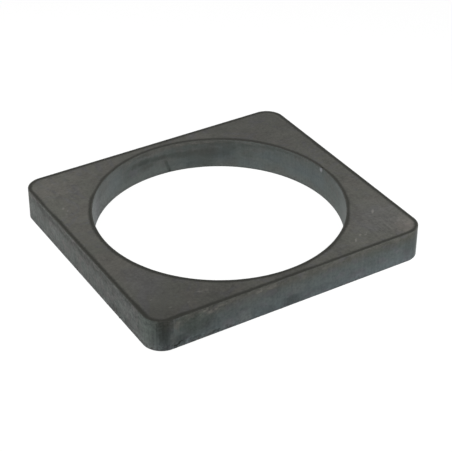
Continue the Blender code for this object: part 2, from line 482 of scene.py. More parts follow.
# The same, with how much lighter or darker the scale is there: partly its own broad tone, partly painted
# light and shade of how the lamps fall across the flat top
SCALE_TONE_AND_PAINTED_LIGHT = (
    (-42, -50, 30, -0.23),
    (-50, -47, 11, -0.14),
    (-50, 4, 26, 0.07),
    (-50, 20, 9, 0.04),
    (50, 15, 9, 0.07),
    (50, 0, 7, -0.04),
    (-50, -14, 10, 0.04),
    (-44, 38, 6, 0.09),
    (44, -39, 5, -0.11),
    (-31, -38, 6, -0.06),
    (-30, 46, 9, 0.08),
    (47, -39, 20, 0.2),
    (51, -46, 8, 0.34),
    (48, -29, 10, 0.08),
    (0, -49, 15, -0.2),
    (-22, -48, 14, -0.1),
    (22, -48, 10, -0.06),
    (-52, 40, 24, 0.14),
    (-49, 25, 17, 0.12),
    (-36, 46, 14, 0.08),
    (46, 30, 38, -0.12),
    (34, 44, 13, -0.13),
    (12, 50, 30, -0.06),
    (-50, -32, 14, 0.05),
    (-30, -46, 9, -0.15),
    (-46, 41, 8, 0.1),
    (30, -46, 8, 0.2),
)


def surface(material):
    """A material's node tree, its Principled shader and the Object coordinates."""
    material.use_nodes = True
    tree = material.node_tree
    return tree, tree.nodes["Principled BSDF"], tree.nodes.new("ShaderNodeTexCoord").outputs["Object"]


def blend(tree, factor, first, second):
    """Two colours mixed by a factor."""
    return add(tree, "ShaderNodeMixRGB", [(0, factor), (1, first), (2, second)]).outputs[0]


def pushed(tree, place, lump, reach):
    """A place pushed about by noise, so that a mark laid on it gets an uneven edge."""
    wander = vector(tree, "SUBTRACT", noise(tree, place, lump, output="Color"), (0.5, 0.5, 0.5))
    return vector(tree, "ADD", place, stretch(tree, wander, reach))


def mark(tree, place, centre, half_sizes, strength, soft=0.7, turn=0.0):
    """A soft round or long mark: its strength at the middle, nothing beyond its half sizes."""
    if turn:
        pairs = [("Vector", place), ("Center", centre), ("Angle", -math.radians(turn))]
        place = add(tree, "ShaderNodeVectorRotate", pairs, rotation_type="Z_AXIS").outputs[0]
    share = vector(tree, "DIVIDE", vector(tree, "SUBTRACT", place, centre), half_sizes)
    return ramp(tree, vector(tree, "LENGTH", share), 1.0, 1.0 - soft, 0.0, strength, smooth=True)


def together(tree, marks, operation="MAXIMUM"):
    """Several marks as one."""
    total = marks[0]
    for other in marks[1:]:
        total = number(tree, operation, total, other)
    return total


scale, scale_shader, place = surface(mill_scale)
tone = noise(scale, place, TONE_SIZE, 3.0, 0.6)
mottle = noise(scale, place, MOTTLE_SIZE, 3.0, 0.65)
grain = noise(scale, place, GRAIN_SIZE, 2.0, 0.7)
rolling = noise(scale, place, ROLLING_SIZES, 2.0, 0.6)
hue = noise(scale, place, SCALE_HUE_SIZES, 3.0, 0.6)
colour = blend(scale, ramp(scale, hue, 0.42, 0.60), SCALE_OLIVE, SCALE_BROWN)
violet = noise(scale, pushed(scale, place, VIOLET_LUMP, VIOLET_WANDER), VIOLET_SIZES, 2.0)
colour = blend(scale, ramp(scale, violet, 0.52, 0.66), colour, SCALE_VIOLET)
for x, y, half_length, half_width, strength, soft, toned in SCALE_TONES:
    half_sizes = (half_length * MM, half_width * MM, TONE_DEPTH)
    patch = mark(scale, place, (x * MM, y * MM, THICKNESS), half_sizes, strength, soft)
    colour = blend(scale, patch, colour, toned)


def scale_patches(patches):
    """Broad soft patches of the top face, added up."""
    laid = []
    for x, y, radius, change in patches:
        laid.append(mark(scale, place, (x * MM, y * MM, THICKNESS), (radius * MM,) * 3, change, soft=1.0))
    return together(scale, laid, "ADD")


level = ramp(scale, tone, 0.25, 0.75, 1.0 - TONE_SHADE, 1.0 + TONE_SHADE)
# Broad patches of the scale's own tone, with painted light and shade
level = number(scale, "ADD", level, scale_patches(SCALE_TONE_AND_PAINTED_LIGHT))
coarse = number(scale, "ADD", scale_patches(SCALE_COARSENESS), 1.0)
mottled = ramp(scale, mottle, 0.2, 0.8, -MOTTLE_SHADE, MOTTLE_SHADE)
uneven = number(scale, "ADD", mottled, ramp(scale, grain, 0.2, 0.8, -GRAIN_SHADE, GRAIN_SHADE))
level = number(scale, "ADD", level, number(scale, "MULTIPLY", uneven, coarse))
lines = ramp(scale, rolling, 0.2, 0.8, -ROLLING_SHADE, ROLLING_SHADE)
brushed = number(scale, "MULTIPLY", number(scale, "POWER", coarse, 3.0), lines)
level = number(scale, "ADD", level, brushed)
colour = stretch(scale, colour, level)
rubbed_place = pushed(scale, place, RUB_LUMP, RUB_WANDER)


def scale_marks(marks, place, operation="MAXIMUM", soft=0.7):
    """Rubs, pits or other long marks laid on the top face."""
    laid = []
    for x, y, half_length, half_width, turn, strength in marks:
        half_sizes = (half_length * MM, half_width * MM, MM)
        laid.append(mark(scale, place, (x * MM, y * MM, THICKNESS), half_sizes, strength, soft, turn))
    return together(scale, laid, operation)


colour = blend(scale, scale_marks(SCALE_RUBS, rubbed_place), colour, RUBBED_SCALE)
colour = blend(scale, scale_marks(SCALE_PITS, rubbed_place), colour, BURNT_EDGE)
ragged = noise(scale, place, RAGGED_SIZE, 2.0, 0.6)
rim = add(scale, "ShaderNodeAttribute", attribute_name="rim_distance").outputs["Fac"]
rim = number(scale, "ADD", rim, ramp(scale, ragged, 0.0, 1.0, -RAGGED_REACH, RAGGED_REACH))
narrower = number(scale, "MULTIPLY", scale_marks(BURNT_REACH, place, "ADD", 1.0), MM)
burnt = ramp(scale, number(scale, "ADD", rim, narrower), BURNT_FROM, BURNT_TO, 0.0, 1.0, smooth=True)
burnt = number(scale, "MULTIPLY", burnt, ramp(scale, rim, 0.0, RIM_FADE_WIDTH, RIM_FADE, 1.0))
colour = blend(scale, burnt, colour, BURNT_EDGE)
scale.links.new(colour, scale_shader.inputs["Base Color"])
scale_shader.inputs["Roughness"].default_value = SCALE_ROUGHNESS
scale_shader.inputs["Specular IOR Level"].default_value = SCALE_GLOSS
pairs = [("Height", number(scale, "ADD", grain, mottle)), ("Strength", 0.3), ("Distance", BUMP_DISTANCE)]
scale.links.new(add(scale, "ShaderNodeBump", pairs).outputs[0], scale_shader.inputs["Normal"])

# THE OUTER WALL
# The cut face round the outline, under a thin blue-green oxide that turns plain grey on the short side.
# Pale slag lies on it, tan heat tint hangs below the top edge, and soot lies over both.
# Painted shade darkens the near corner where it faces front and left, painted light brightens the rest of
# that corner, and a painted highlight runs up the right corner; painted light from the table lightens the
# walls towards the foot.

WALL_ROUGHNESS = 0.55
WALL_GLOSS = 0.08
STREAK_SIZES, STREAK_SHADE = (0.7 * MM, 0.7 * MM, 14 * MM), 0.08
CLOUD_SHADE = 0.14
SPECK_SIZE, SPECK_SHADE = 1.0 * MM, 0.22
CRUMB_SIZES, CRUMB_SHADE = (1.3 * MM, 1.3 * MM, 0.9 * MM), 0.40
OXIDE_HUE_SIZES = (5 * MM, 5 * MM, 3.5 * MM)
MARK_LUMP, MARK_WANDER = 1.6 * MM, 2.4 * MM
# Depths below the top face between which the rough foot and the rough top of a wall come in
ROUGH_FOOT = (8.6 * MM, 10.4 * MM)
ROUGH_TOP = (3.4 * MM, 1.8 * MM)
FOOT_SHADE = 0.05
COMBED_SHADE, COMBED_GREY = 0.30, 0.15
TOP_HAIRLINE, TOP_HAIRLINE_SHARE = (0.24 * MM, 0.02 * MM), 0.28
FOOT_HAIRLINE, FOOT_HAIRLINE_SHARE = (0.4 * MM, 0.05 * MM), 0.4
# From where to where along a wall, and how uneven the oxide is at each
UNEVEN_SHORT_SIDE = (-35 * MM, 5 * MM, 0.95, 0.42)
UNEVEN_LONG_SIDE = (-35 * MM, -22 * MM, 1.15, 0.90)
ROUGH_LONG_SIDE = (-40 * MM, -8 * MM, 1.0, 0.25)
# From which depth to which, and how light the oxide is at each; on the long side this is painted light from
# the table, lighter towards the foot
LONG_SIDE_PAINTED_FLOOR_LIGHT = (2 * MM, 11 * MM, 0.98, 1.14)
GREY_LIGHT = (1.4 * MM, 4.4 * MM, 0.64, 1.03)
# The same, with how much lighter or darker the grey is there
GREY_LIP = (1.1 * MM, 0.2 * MM, 0.0, 0.28)
GREY_FOOT = (8.2 * MM, 10.6 * MM, 0.0, -0.12)
OXIDE_OLIVE = (0.121, 0.123, 0.108, 1)
OXIDE_TEAL = (0.117, 0.137, 0.133, 1)
OXIDE_BLUE = (0.118, 0.140, 0.146, 1)
OXIDE_VIOLET = (0.130, 0.129, 0.141, 1)
OXIDE_GREEN = (0.100, 0.124, 0.107, 1)
OXIDE_GREY = (0.091, 0.098, 0.091, 1)
GREY_PINK = (0.099, 0.097, 0.092, 1)
HEAT_TINT = (0.188, 0.181, 0.164, 1)
SOOT_AND_PAINTED_SHADE = (0.028, 0.031, 0.027, 1)
PALE_SLAG_AND_PAINTED_LIGHT = (0.177, 0.192, 0.186, 1)

# Marks on the long side: X, depth below the top face, half length and half height in millimetres, strength
LONG_SIDE_TINTS = (
    (-46.3, 2.7, 1.1, 2.6, 0.6),
    (-45.9, 4.9, 0.9, 1.6, 0.34),
    (-47.4, 8, 2.6, 4, 0.26),
    (-33.5, 10.4, 2.4, 1.2, 0.26),
    (-41, 1.2, 1.5, 1.2, 0.5),
    (-38.2, 0.7, 1, 0.7, 0.4),
    (-35.4, 0.9, 1.6, 0.9, 0.8),
    (-33.5, 2.1, 1.7, 1.1, 0.95),
    (-31.4, 1.6, 1.5, 0.8, 0.8),
    (-29.7, 1, 1.2, 0.7, 0.6),
    (-25.3, 0.9, 1.8, 0.6, 0.5),
    (-22.2, 1.1, 1.5, 0.6, 0.45),
    (-18, 0.6, 1.6, 0.5, 0.5),
    (-14.6, 1.2, 2.2, 1, 0.95),
    (-10, 1.1, 2.8, 0.9, 0.7),
    (3, 2, 1.7, 1.6, 0.35),
    (11.6, 1.4, 1.7, 1.1, 0.35),
    (16.2, 0.8, 3.4, 0.8, 0.35),
    (28.6, 1.2, 2.4, 1.4, 0.32),
    (34, 1.4, 2.6, 2.2, 0.26),
    (35.8, 0.9, 0.7, 0.4, 0.6),
    (42, 1.1, 1.9, 1.3, 0.42),
)
LONG_SIDE_SOOT = (
    (-41, 5.6, 6, 6, 0.26),
    (-36, 5.9, 5, 3.8, 0.32),
    (-33.2, 4.8, 2.6, 2.4, 0.26),
    (-40, 1.6, 1.6, 2, 0.24),
    (-44, 1.2, 2, 1.6, 0.2),
    (-1.5, 9.9, 6, 2.6, 0.36),
    (2, 10.4, 4, 1.6, 0.2),
    (-10, 10.2, 3.6, 2, 0.2),
    (-20.5, 6.2, 3, 1, 0.14),
    (-17, 10, 1.6, 1.6, 0.1),
    (-8.8, 3.6, 3.2, 2.6, 0.12),
    (-6.5, 1, 2.2, 1.2, 0.25),
    (-46.6, 10.7, 1.3, 0.8, 0.92),
    (-45.7, 10.3, 1.2, 0.7, 0.95),
    (-44.8, 9.9, 1.2, 0.6, 0.92),
    (-43.9, 9.5, 1.1, 0.5, 0.6),
    (-47.5, 9.9, 1.1, 1, 0.5),
    (-45, 8.6, 4, 3, 0.44),
    (-34, 9.4, 3, 1.4, 0.1),
    (38, 2.2, 15, 3.8, 0.14),
    (20, 10, 6, 2.4, 0.09),
    (30, 6.4, 4, 2.4, 0.12),
    (13.8, 8.9, 2.2, 1.4, 0.16),
    (23.5, 6, 1.6, 3.8, 0.1),
    (26.8, 5, 1.4, 3, 0.12),
    (22, 1.4, 3.4, 1.6, 0.18),
    (29.5, 1.8, 2, 2.2, 0.16),
    (40, 2.4, 3, 1.8, 0.14),
    (44, 1.4, 2, 1.4, 0.16),
    (47.5, 5.6, 3.8, 6, 0.26),
    (51, 5.5, 2.8, 13, 0.4),
    (-32.2, 10.8, 1.3, 0.6, 0.65),
    (-30.9, 10.9, 0.7, 0.8, 0.5),
    (-34, 11.2, 1.8, 0.5, 0.45),
)
LONG_SIDE_VIOLET = (
    (-26.5, 9.8, 3.6, 2.8, 0.8),
    (-27.2, 3.4, 1.6, 2.2, 0.6),
    (-8.8, 3.8, 3.2, 2.6, 0.3),
    (25, 9, 5, 2.6, 0.4),
)
LONG_SIDE_GREEN = (
    (-39, 5, 9, 6.5, 0.7),
    (-45, 1, 6, 2, 0.5),
    (33, 2.6, 5, 2.4, 0.4),
)
# Where the oxide is paler
LONG_SIDE_PALE = (
    (-25.5, 4.2, 3.6, 3.6, 0.16),
    (-20.5, 9.4, 4.8, 4.2, 0.66),
    (-27, 9.8, 4.6, 2.6, 0.32),
    (-31.8, 10.2, 1, 0.5, 0.65),
    (-36, 5, 6, 5, 0.18),
    (-20, 4, 12, 5.4, 0.24),
    (-19.5, 10.4, 3.4, 2, 0.8),
    (-38, 11.3, 7, 0.8, 0.34),
    (-12, 5.5, 4, 3.6, 0.16),
    (-3, 4.2, 4, 2.6, 0.12),
    (0.5, 6, 5, 3, 0.56),
    (8, 4.6, 3, 3.4, 0.14),
    (17, 8.8, 4, 2.6, 0.1),
    (-36, 10.8, 6, 1.4, 0.16),
)
# Marks on the short side, the same with Y in place of X
SHORT_SIDE_SOOT = (
    (-22.4, 9.8, 1.8, 1.9, 0.55),
    (-24.6, 9.9, 1.3, 1.4, 0.55),
    (-31.3, 10.3, 1.6, 1.3, 0.45),
    (-34.5, 9.5, 1.2, 0.8, 0.2),
    (32, 4.4, 5, 3.8, 0.24),
    (32, 2, 6, 1.6, 0.4),
    (0.5, 2, 5, 1.5, 0.3),
    (-41, 6, 3.4, 2.6, 0.22),
    (-31.8, 9.8, 3, 2, 0.36),
    (8, 11, 10, 1.1, 0.26),
    (42, 9.8, 3.4, 2.2, 0.26),
    (22, 2, 17, 1.2, 0.26),
    (11, 5.6, 4, 3.2, 0.12),
    (23, 10.4, 4.6, 1.6, 0.26),
    (39, 9.6, 2.6, 2.2, 0.12),
    (7, 11.2, 6, 0.9, 0.28),
    (17, 11, 3, 0.8, 0.24),
    (33, 11.2, 7, 0.9, 0.14),
    (-9, 10.8, 4, 1, 0.22),
)
SHORT_SIDE_TINTS = (
    (4, 4, 3.2, 4.4, 0.14),
    (-11, 1.2, 2.6, 0.8, 0.35),
    (-38, 1, 6, 0.6, 0.2),
    (14.5, 1.2, 2, 0.6, 0.2),
)
SHORT_SIDE_PALE = (
    (-15.3, 10.8, 1.5, 1, 0.45),
    (22, 6.2, 4.4, 2.8, 0.3),
    (-22, 5.8, 6, 3.4, 0.16),
    (-32, 2.4, 18, 3.2, 0.3),
    (-12, 5.6, 5, 3.6, 0.14),
    (19, 4.2, 5, 2.4, 0.1),
    (41, 6, 3, 5, 0.12),
    (-1.6, 9.7, 3.6, 1.3, 0.22),
    (41.5, 2, 3, 1.5, 0.24),
    (33.5, 7.6, 3, 2, 0.08),
    (-35, 5, 16, 10, 0.2),
    (-41.5, 10, 4.4, 2.6, 0.42),
    (-39, 9.8, 5, 3, 0.26),
    (-31, 6.2, 7, 3, 0.32),
)
# Upright marks on the near corner: angle round its centre, depth, half width and half height, strength.
# Of the dark marks, those from 231 to 261 degrees are painted shade where the corner faces front and left,
# and the two further round are soot
CORNER_SOOT_AND_PAINTED_SHADE = (
    (253, 4.6, 2, 12, 0.68),
    (245, 3.8, 1.7, 13.5, 0.73),
    (238, 3.4, 1.2, 13, 0.62),
    (231, 2.2, 0.8, 7, 0.42),
    (261, 4.5, 1.7, 13, 0.54),
    (240, 1.8, 1.8, 2, 0.76),
    (192, 1.9, 2.8, 1.8, 0.26),
    (221, 1.9, 1.6, 1.8, 0.18),
)
# Painted light on the left part of the near corner, in the same columns
CORNER_PAINTED_LIGHT = (
    (203, 6, 7, 14, 0.42),
    (200, 10.4, 6, 4.6, 0.58),
    (215, 6.2, 3.4, 3.6, 0.56),
    (210, 2, 1.4, 1.8, 0.56),
    (213, 10.4, 4, 4, 0.66),
    (222, 10.4, 3, 2.6, 0.5),
    (232, 10.6, 3.4, 2.6, 0.24),
)
CORNER_GREEN = (
    (203, 3, 7, 12, 1),
)
# The same on the right corner, where the pale strip is a painted highlight up its edge
RIGHT_CORNER_PAINTED_HIGHLIGHT = (
    (308, 6, 2.2, 14, 0.45),
    (300, 10, 2, 4, 0.2),
)


def wall_marks(tree, place, long_side, short_side=(), soft=0.7):
    """Marks laid on the long and on the short side of the outer wall."""
    laid = []
    for x, depth, half_length, half_height, strength in long_side:
        centre = (x * MM, -PLATE_WIDTH / 2, THICKNESS - depth * MM)
        laid.append(mark(tree, place, centre, (half_length * MM, 3 * MM, half_height * MM), strength, soft))
    for y, depth, half_length, half_height, strength in short_side:
        centre = (-PLATE_LENGTH / 2, y * MM, THICKNESS - depth * MM)
        laid.append(mark(tree, place, centre, (3 * MM, half_length * MM, half_height * MM), strength, soft))
    return together(tree, laid)


def corner_marks(tree, place, marks, side=-1):
    """Upright marks laid round the near corner, or with side 1 round the right one."""
    laid = []
    for angle, depth, half_width, half_height, strength in marks:
        turn = math.radians(angle)
        x = side * (PLATE_LENGTH / 2 - CORNER_RADIUS) + CORNER_RADIUS * math.cos(turn)
        y = -PLATE_WIDTH / 2 + CORNER_RADIUS * (1 + math.sin(turn))
        half_sizes = (half_width * MM, half_width * MM, half_height * MM)
        laid.append(mark(tree, place, (x, y, THICKNESS - depth * MM), half_sizes, strength, 0.9))
    return together(tree, laid)


def oxide_level(tree, place, cloud_place, cloud_sizes, depth, contrast, rough_ends):
    """How light the oxide is, cloudy and grainy and roughest at its ends, and the upright streaks in it."""
    streaks = noise(tree, place, STREAK_SIZES, 3.0, 0.6)
    clouds = noise(tree, cloud_place, cloud_sizes, 3.0, 0.6)
    specks = noise(tree, place, SPECK_SIZE, 2.0, 0.7)
    crumbs = noise(tree, place, CRUMB_SIZES, 2.0, 0.6)
    uneven = ramp(tree, clouds, 0.25, 0.75, -CLOUD_SHADE, CLOUD_SHADE)
    uneven = number(tree, "ADD", uneven, ramp(tree, specks, 0.2, 0.8, -SPECK_SHADE, SPECK_SHADE))
    uneven = number(tree, "MULTIPLY", uneven, contrast)
    at_foot = ramp(tree, depth, *ROUGH_FOOT, 0.0, 1.0, smooth=True)
    near_top = ramp(tree, depth, *ROUGH_TOP, 0.0, 0.6, smooth=True)
    rough = number(tree, "MULTIPLY", number(tree, "ADD", at_foot, near_top), rough_ends)
    rough = number(tree, "MULTIPLY", ramp(tree, crumbs, 0.3, 0.7, -CRUMB_SHADE, CRUMB_SHADE), rough)
    streaked = ramp(tree, streaks, 0.2, 0.8, 1.0 - STREAK_SHADE, 1.0 + STREAK_SHADE)
    level = number(tree, "ADD", streaked, number(tree, "ADD", uneven, rough))
    return number(tree, "ADD", level, number(tree, "MULTIPLY", at_foot, FOOT_SHADE)), streaks


def frayed_tint(tree, place, wavy_depth, sizes, least, reach, strength):
    """A torn fringe of heat tint, none at the first depth of its reach and full above the second."""
    torn = ramp(tree, noise(tree, place, sizes, 3.0, 0.6), least, 0.64)
    return number(tree, "MULTIPLY", torn, ramp(tree, wavy_depth, *reach, 0.0, strength))


def finish_wall(tree, shader, colour, streaks):
    """Link a wall's colour and its fine upright relief, and set its gloss."""
    tree.links.new(colour, shader.inputs["Base Color"])
    shader.inputs["Roughness"].default_value = WALL_ROUGHNESS
    shader.inputs["Specular IOR Level"].default_value = WALL_GLOSS
    pairs = [("Height", streaks), ("Strength", 0.25), ("Distance", BUMP_DISTANCE)]
    tree.links.new(add(tree, "ShaderNodeBump", pairs).outputs[0], shader.inputs["Normal"])


def burnt_ends(tree, depth):
    """The sooty hairline along the top and the foot of a cut wall."""
    top = ramp(tree, depth, *TOP_HAIRLINE, 0.0, TOP_HAIRLINE_SHARE)
    foot_from, foot_to = (THICKNESS - height for height in FOOT_HAIRLINE)
    foot = ramp(tree, depth, foot_from, foot_to, 0.0, FOOT_HAIRLINE_SHARE)
    return number(tree, "MAXIMUM", top, foot)


outer, outer_shader, place = surface(outer_oxide)
x, y, z = split(outer, place)
depth = number(outer, "SUBTRACT", THICKNESS, z)
rough_place = pushed(outer, place, MARK_LUMP, MARK_WANDER)
short_side = -0.5 * PLATE_LENGTH
on_grey = ramp(outer, x, short_side + 2 * MM, short_side + 0.1 * MM)
# The oxide is most uneven towards the near corner, and smooth but streaked on the corner itself
on_grey_contrast = ramp(outer, y, *UNEVEN_SHORT_SIDE)
on_long_contrast = ramp(outer, x, *UNEVEN_LONG_SIDE)
corner_centre = (short_side + CORNER_RADIUS, -0.5 * PLATE_WIDTH + CORNER_RADIUS, 0.5 * THICKNESS)
by_corner = mark(outer, place, corner_centre, (10 * MM, 10 * MM, 60 * MM), 1.0, soft=0.5)
contrast = number(outer, "ADD", number(outer, "MULTIPLY", on_grey, on_grey_contrast), on_long_contrast)
contrast = number(outer, "SUBTRACT", contrast, by_corner)
rough_ends = ramp(outer, x, *ROUGH_LONG_SIDE)
level, streaks = oxide_level(outer, place, place, (4 * MM, 4 * MM, 2.6 * MM), depth, contrast, rough_ends)
combed = number(outer, "MAXIMUM", by_corner, number(outer, "MULTIPLY", on_grey, COMBED_GREY))
combed = number(outer, "MULTIPLY", combed, ramp(outer, streaks, 0.3, 0.7, -COMBED_SHADE, COMBED_SHADE))
level = number(outer, "ADD", level, combed)
wavy_depth = number(outer, "SUBTRACT", THICKNESS, split(outer, rough_place)["Z"])
colour = blend(outer, ramp(outer, wavy_depth, 1.5 * MM, 5 * MM), OXIDE_OLIVE, OXIDE_TEAL)
colour = blend(outer, ramp(outer, wavy_depth, 5 * MM, 10 * MM, 0.0, 0.8), colour, OXIDE_BLUE)
hue = noise(outer, place, OXIDE_HUE_SIZES, 2.0)
colour = blend(outer, ramp(outer, hue, 0.52, 0.66, 0.0, 0.5), colour, OXIDE_VIOLET)
colour = blend(outer, wall_marks(outer, rough_place, LONG_SIDE_VIOLET, soft=0.9), colour, OXIDE_VIOLET)
# Painted light from the table, lighter towards the foot
colour = stretch(outer, colour, ramp(outer, depth, *LONG_SIDE_PAINTED_FLOOR_LIGHT))
grey = blend(outer, ramp(outer, hue, 0.46, 0.62), OXIDE_GREY, GREY_PINK)
lip = ramp(outer, depth, *GREY_LIP)
grey_level = number(outer, "ADD", lip, ramp(outer, wavy_depth, *GREY_LIGHT, smooth=True))
grey_level = number(outer, "ADD", grey_level, ramp(outer, depth, *GREY_FOOT))
grey = stretch(outer, grey, grey_level)
colour = blend(outer, number(outer, "MULTIPLY", on_grey, 0.9), colour, grey)
green = number(
    outer,
    "MAXIMUM",
    wall_marks(outer, rough_place, LONG_SIDE_GREEN, soft=0.9),
    corner_marks(outer, rough_place, CORNER_GREEN),
)
colour = blend(outer, green, colour, OXIDE_GREEN)
tints = wall_marks(outer, rough_place, LONG_SIDE_TINTS, SHORT_SIDE_TINTS)
fringe_sizes = (4.5 * MM, 4.5 * MM, 1.3 * MM)
frayed = frayed_tint(outer, place, wavy_depth, fringe_sizes, 0.50, (2.2 * MM, 0.9 * MM), 0.30)
frayed = number(outer, "MULTIPLY", frayed, ramp(outer, on_grey, 0.0, 1.0, 1.0, 0.35))
# Pale slag on the walls, and painted light on the near corner
slag_and_painted_light = number(
    outer,
    "MAXIMUM",
    wall_marks(outer, rough_place, LONG_SIDE_PALE, SHORT_SIDE_PALE, 0.9),
    corner_marks(outer, rough_place, CORNER_PAINTED_LIGHT),
)
# A painted highlight up the right corner
slag_and_painted_light = number(outer, "MAXIMUM", slag_and_painted_light, corner_marks(outer, place, RIGHT_CORNER_PAINTED_HIGHLIGHT, 1))
colour = blend(outer, slag_and_painted_light, colour, PALE_SLAG_AND_PAINTED_LIGHT)
colour = blend(outer, number(outer, "MAXIMUM", tints, frayed), colour, HEAT_TINT)
colour = stretch(outer, colour, level)
# Soot marks, and painted shade up the near corner
dark_marks = wall_marks(outer, rough_place, LONG_SIDE_SOOT, SHORT_SIDE_SOOT)
dark_marks = number(outer, "MAXIMUM", dark_marks, corner_marks(outer, rough_place, CORNER_SOOT_AND_PAINTED_SHADE))
colour = blend(outer, number(outer, "MAXIMUM", dark_marks, burnt_ends(outer, depth)), colour, SOOT_AND_PAINTED_SHADE)
finish_wall(outer, outer_shader, colour, streaks)

# THE WALL OF THE HOLE
# The same cut and oxide inside the hole, with a dark band a third of the way down the far side.
# Painted light from the table lightens it towards the foot.
# The beam's run-in groove is sooty, and the chip in the rim is bright bare steel.

HOLE_GREEN = (0.111, 0.125, 0.118, 1)
HOLE_BLUE = (0.106, 0.127, 0.131, 1)
HOLE_BROWN = (0.116, 0.118, 0.111, 1)
HOLE_VIOLET = (0.121, 0.119, 0.130, 1)
HOLE_TAN = (0.114, 0.112, 0.100, 1)
BARE_STEEL = (0.36, 0.36, 0.39, 1)
HOLE_WANDER = 2.0 * MM
UNEVEN_HOLE = (-22 * MM, -34 * MM, 0.62, 1.25)
ROUGH_HOLE = 0.2
# Painted light from the table: from which depth to which, and how light the oxide is at each
HOLE_PAINTED_FLOOR_LIGHT = (1.5 * MM, 10 * MM, 0.98, 1.12)
LEAD_IN_SOOT_FROM, LEAD_IN_SOOT_TO, LEAD_IN_SOOT = 1.1 * MM, 0.3 * MM, 0.46
BARE_CHIP_SIZES, BARE_CHIP_DEPTH, BARE_CHIP_SHARE = (1.1 * MM, MM, 1.4 * MM), 0.7 * MM, 0.62

# Each is the angle in degrees, depth below the top face, half length and half height in millimetres, strength
HOLE_TINTS = (
    (116, 0.9, 5, 1, 0.22),
    (107, 0.9, 3, 0.9, 0.25),
    (79, 0.6, 3.4, 0.5, 0.42),
    (71, 0.7, 2.6, 0.5, 0.42),
    (64, 0.8, 3.6, 0.6, 0.4),
    (57, 1.1, 3.6, 0.6, 0.22),
    (45, 0.9, 3.4, 0.7, 0.3),
    (13, 0.9, 4, 0.9, 0.16),
)
HOLE_SOOT = (
    (32, 0.8, 13, 1.1, 0.26),
    (54, 3.4, 5, 4, 0.34),
    (56, 5.6, 5, 3.4, 0.4),
    (47, 1.6, 6, 1.8, 0.28),
    (66, 3, 5, 2, 0.26),
    (45, 5.6, 4, 2.6, 0.14),
    (55, 1.1, 5, 1.4, 0.36),
    (72, 7.3, 8, 2, 0.32),
    (54, 8, 5.5, 5, 0.18),
    (71, 1.6, 3, 1.2, 0.32),
    (73, 9.8, 4.6, 3, 0.34),
    (98, 1, 5, 1, 0.24),
    (104, 4, 3.6, 1.8, 0.32),
    (98, 4, 6, 2.1, 0.54),
    (90, 4.4, 8, 1.7, 0.46),
    (82, 4.7, 9, 1.8, 0.4),
    (75, 5.2, 11, 2.4, 0.46),
    (64, 5.8, 10, 4.4, 0.46),
    (66, 9.6, 8, 3.6, 0.34),
    (60, 1.8, 10, 1.8, 0.3),
    (45, 1.6, 7, 1.4, 0.18),
    (75, 2.4, 12, 1.6, 0.22),
    (108, 6, 5, 4, 0.14),
    (97, 5.8, 6, 2.8, 0.34),
    (80, 8.6, 9, 3.6, 0.14),
    (18, 1, 7, 1, 0.12),
)
HOLE_BLUES = (
    (119, 6, 8, 7, 0.7),
    (33, 5, 9, 3.6, 0.6),
    (14, 6, 8, 4, 0.8),
    (57, 6.6, 8, 5.5, 0.6),
    (75, 9, 9, 3.5, 0.4),
    (43, 9.5, 9, 3.5, 0.5),
    (20, 7, 9, 5, 0.5),
    (5, 6, 8, 6, 0.7),
)
HOLE_BROWNS = (
    (34, 10.4, 5, 1.8, 0.4),
    (66, 4.6, 8, 3, 0.6),
    (92, 1.5, 8, 1.6, 0.8),
    (128, 3, 6, 3, 0.6),
)
HOLE_TANS = (
    (80, 0.4, 36, 1.8, 0.8),
)
HOLE_VIOLETS = (
    (152, 6, 8, 9, 1),
    (142, 7, 9, 8, 0.8),
    (105, 6.4, 4, 2.6, 0.5),
)
HOLE_PALE = (
    (147, 5, 14, 14, 0.7),
    (148, 7, 10, 6, 0.92),
    (139, 0.9, 7, 1.4, 0.7),
    (127, 7.2, 12, 5.4, 0.58),
    (105, 9.8, 14, 3, 0.16),
    (-17, 0.8, 9, 1.6, 0.36),
    (-23, 4.5, 7, 8, 0.16),
    (12, 4.4, 7, 3.4, 0.18),
    (5, 3.2, 4, 2, 0.26),
    (20, 9.2, 12, 2.8, 0.24),
    (4, 6.6, 5, 3, 0.2),
    (122, 5, 13, 13, 0.34),
    (20, 4, 22, 4, 0.12),
    (90, 1.8, 14, 1.6, 0.1),
    (93, 9, 6, 3, 0.22),
    (38, 8.4, 9, 4, 0.14),
    (27, 9.6, 4, 2.2, 0.1),
)


def hole_marks(tree, unrolled, marks, soft=0.8):
    """Marks laid on the wall of the hole, whose length round the hole is unrolled along X."""
    laid = []
    for angle, depth, half_length, half_height, strength in marks:
        centre = (HOLE_RADIUS * math.radians(angle), 0.0, THICKNESS - depth * MM)
        laid.append(mark(tree, unrolled, centre, (half_length * MM, MM, half_height * MM), strength, soft))
    return together(tree, laid)


inner, inner_shader, place = surface(hole_oxide)
x, y, z = split(inner, place)
depth = number(inner, "SUBTRACT", THICKNESS, z)
around = number(inner, "MULTIPLY", number(inner, "ARCTAN2", y, x), HOLE_RADIUS)
laid_flat = along(inner, around, 0.0, z)
unrolled = vector(inner, "MULTIPLY", pushed(inner, laid_flat, MARK_LUMP, HOLE_WANDER), (1, 0, 1))
contrast = ramp(inner, x, *UNEVEN_HOLE)
level, streaks = oxide_level(inner, place, unrolled, (14 * MM, 1.0, 1.8 * MM), depth, contrast, ROUGH_HOLE)
hue = noise(inner, place, OXIDE_HUE_SIZES, 2.0)
colour = blend(inner, ramp(inner, hue, 0.48, 0.62, 0.0, 0.6), HOLE_GREEN, HOLE_BROWN)
hole_tones = (
    (HOLE_BLUES, HOLE_BLUE),
    (HOLE_BROWNS, HOLE_BROWN),
    (HOLE_VIOLETS, HOLE_VIOLET),
    (HOLE_TANS, HOLE_TAN),
)
for marks, toned in hole_tones:
    colour = blend(inner, hole_marks(inner, unrolled, marks), colour, toned)
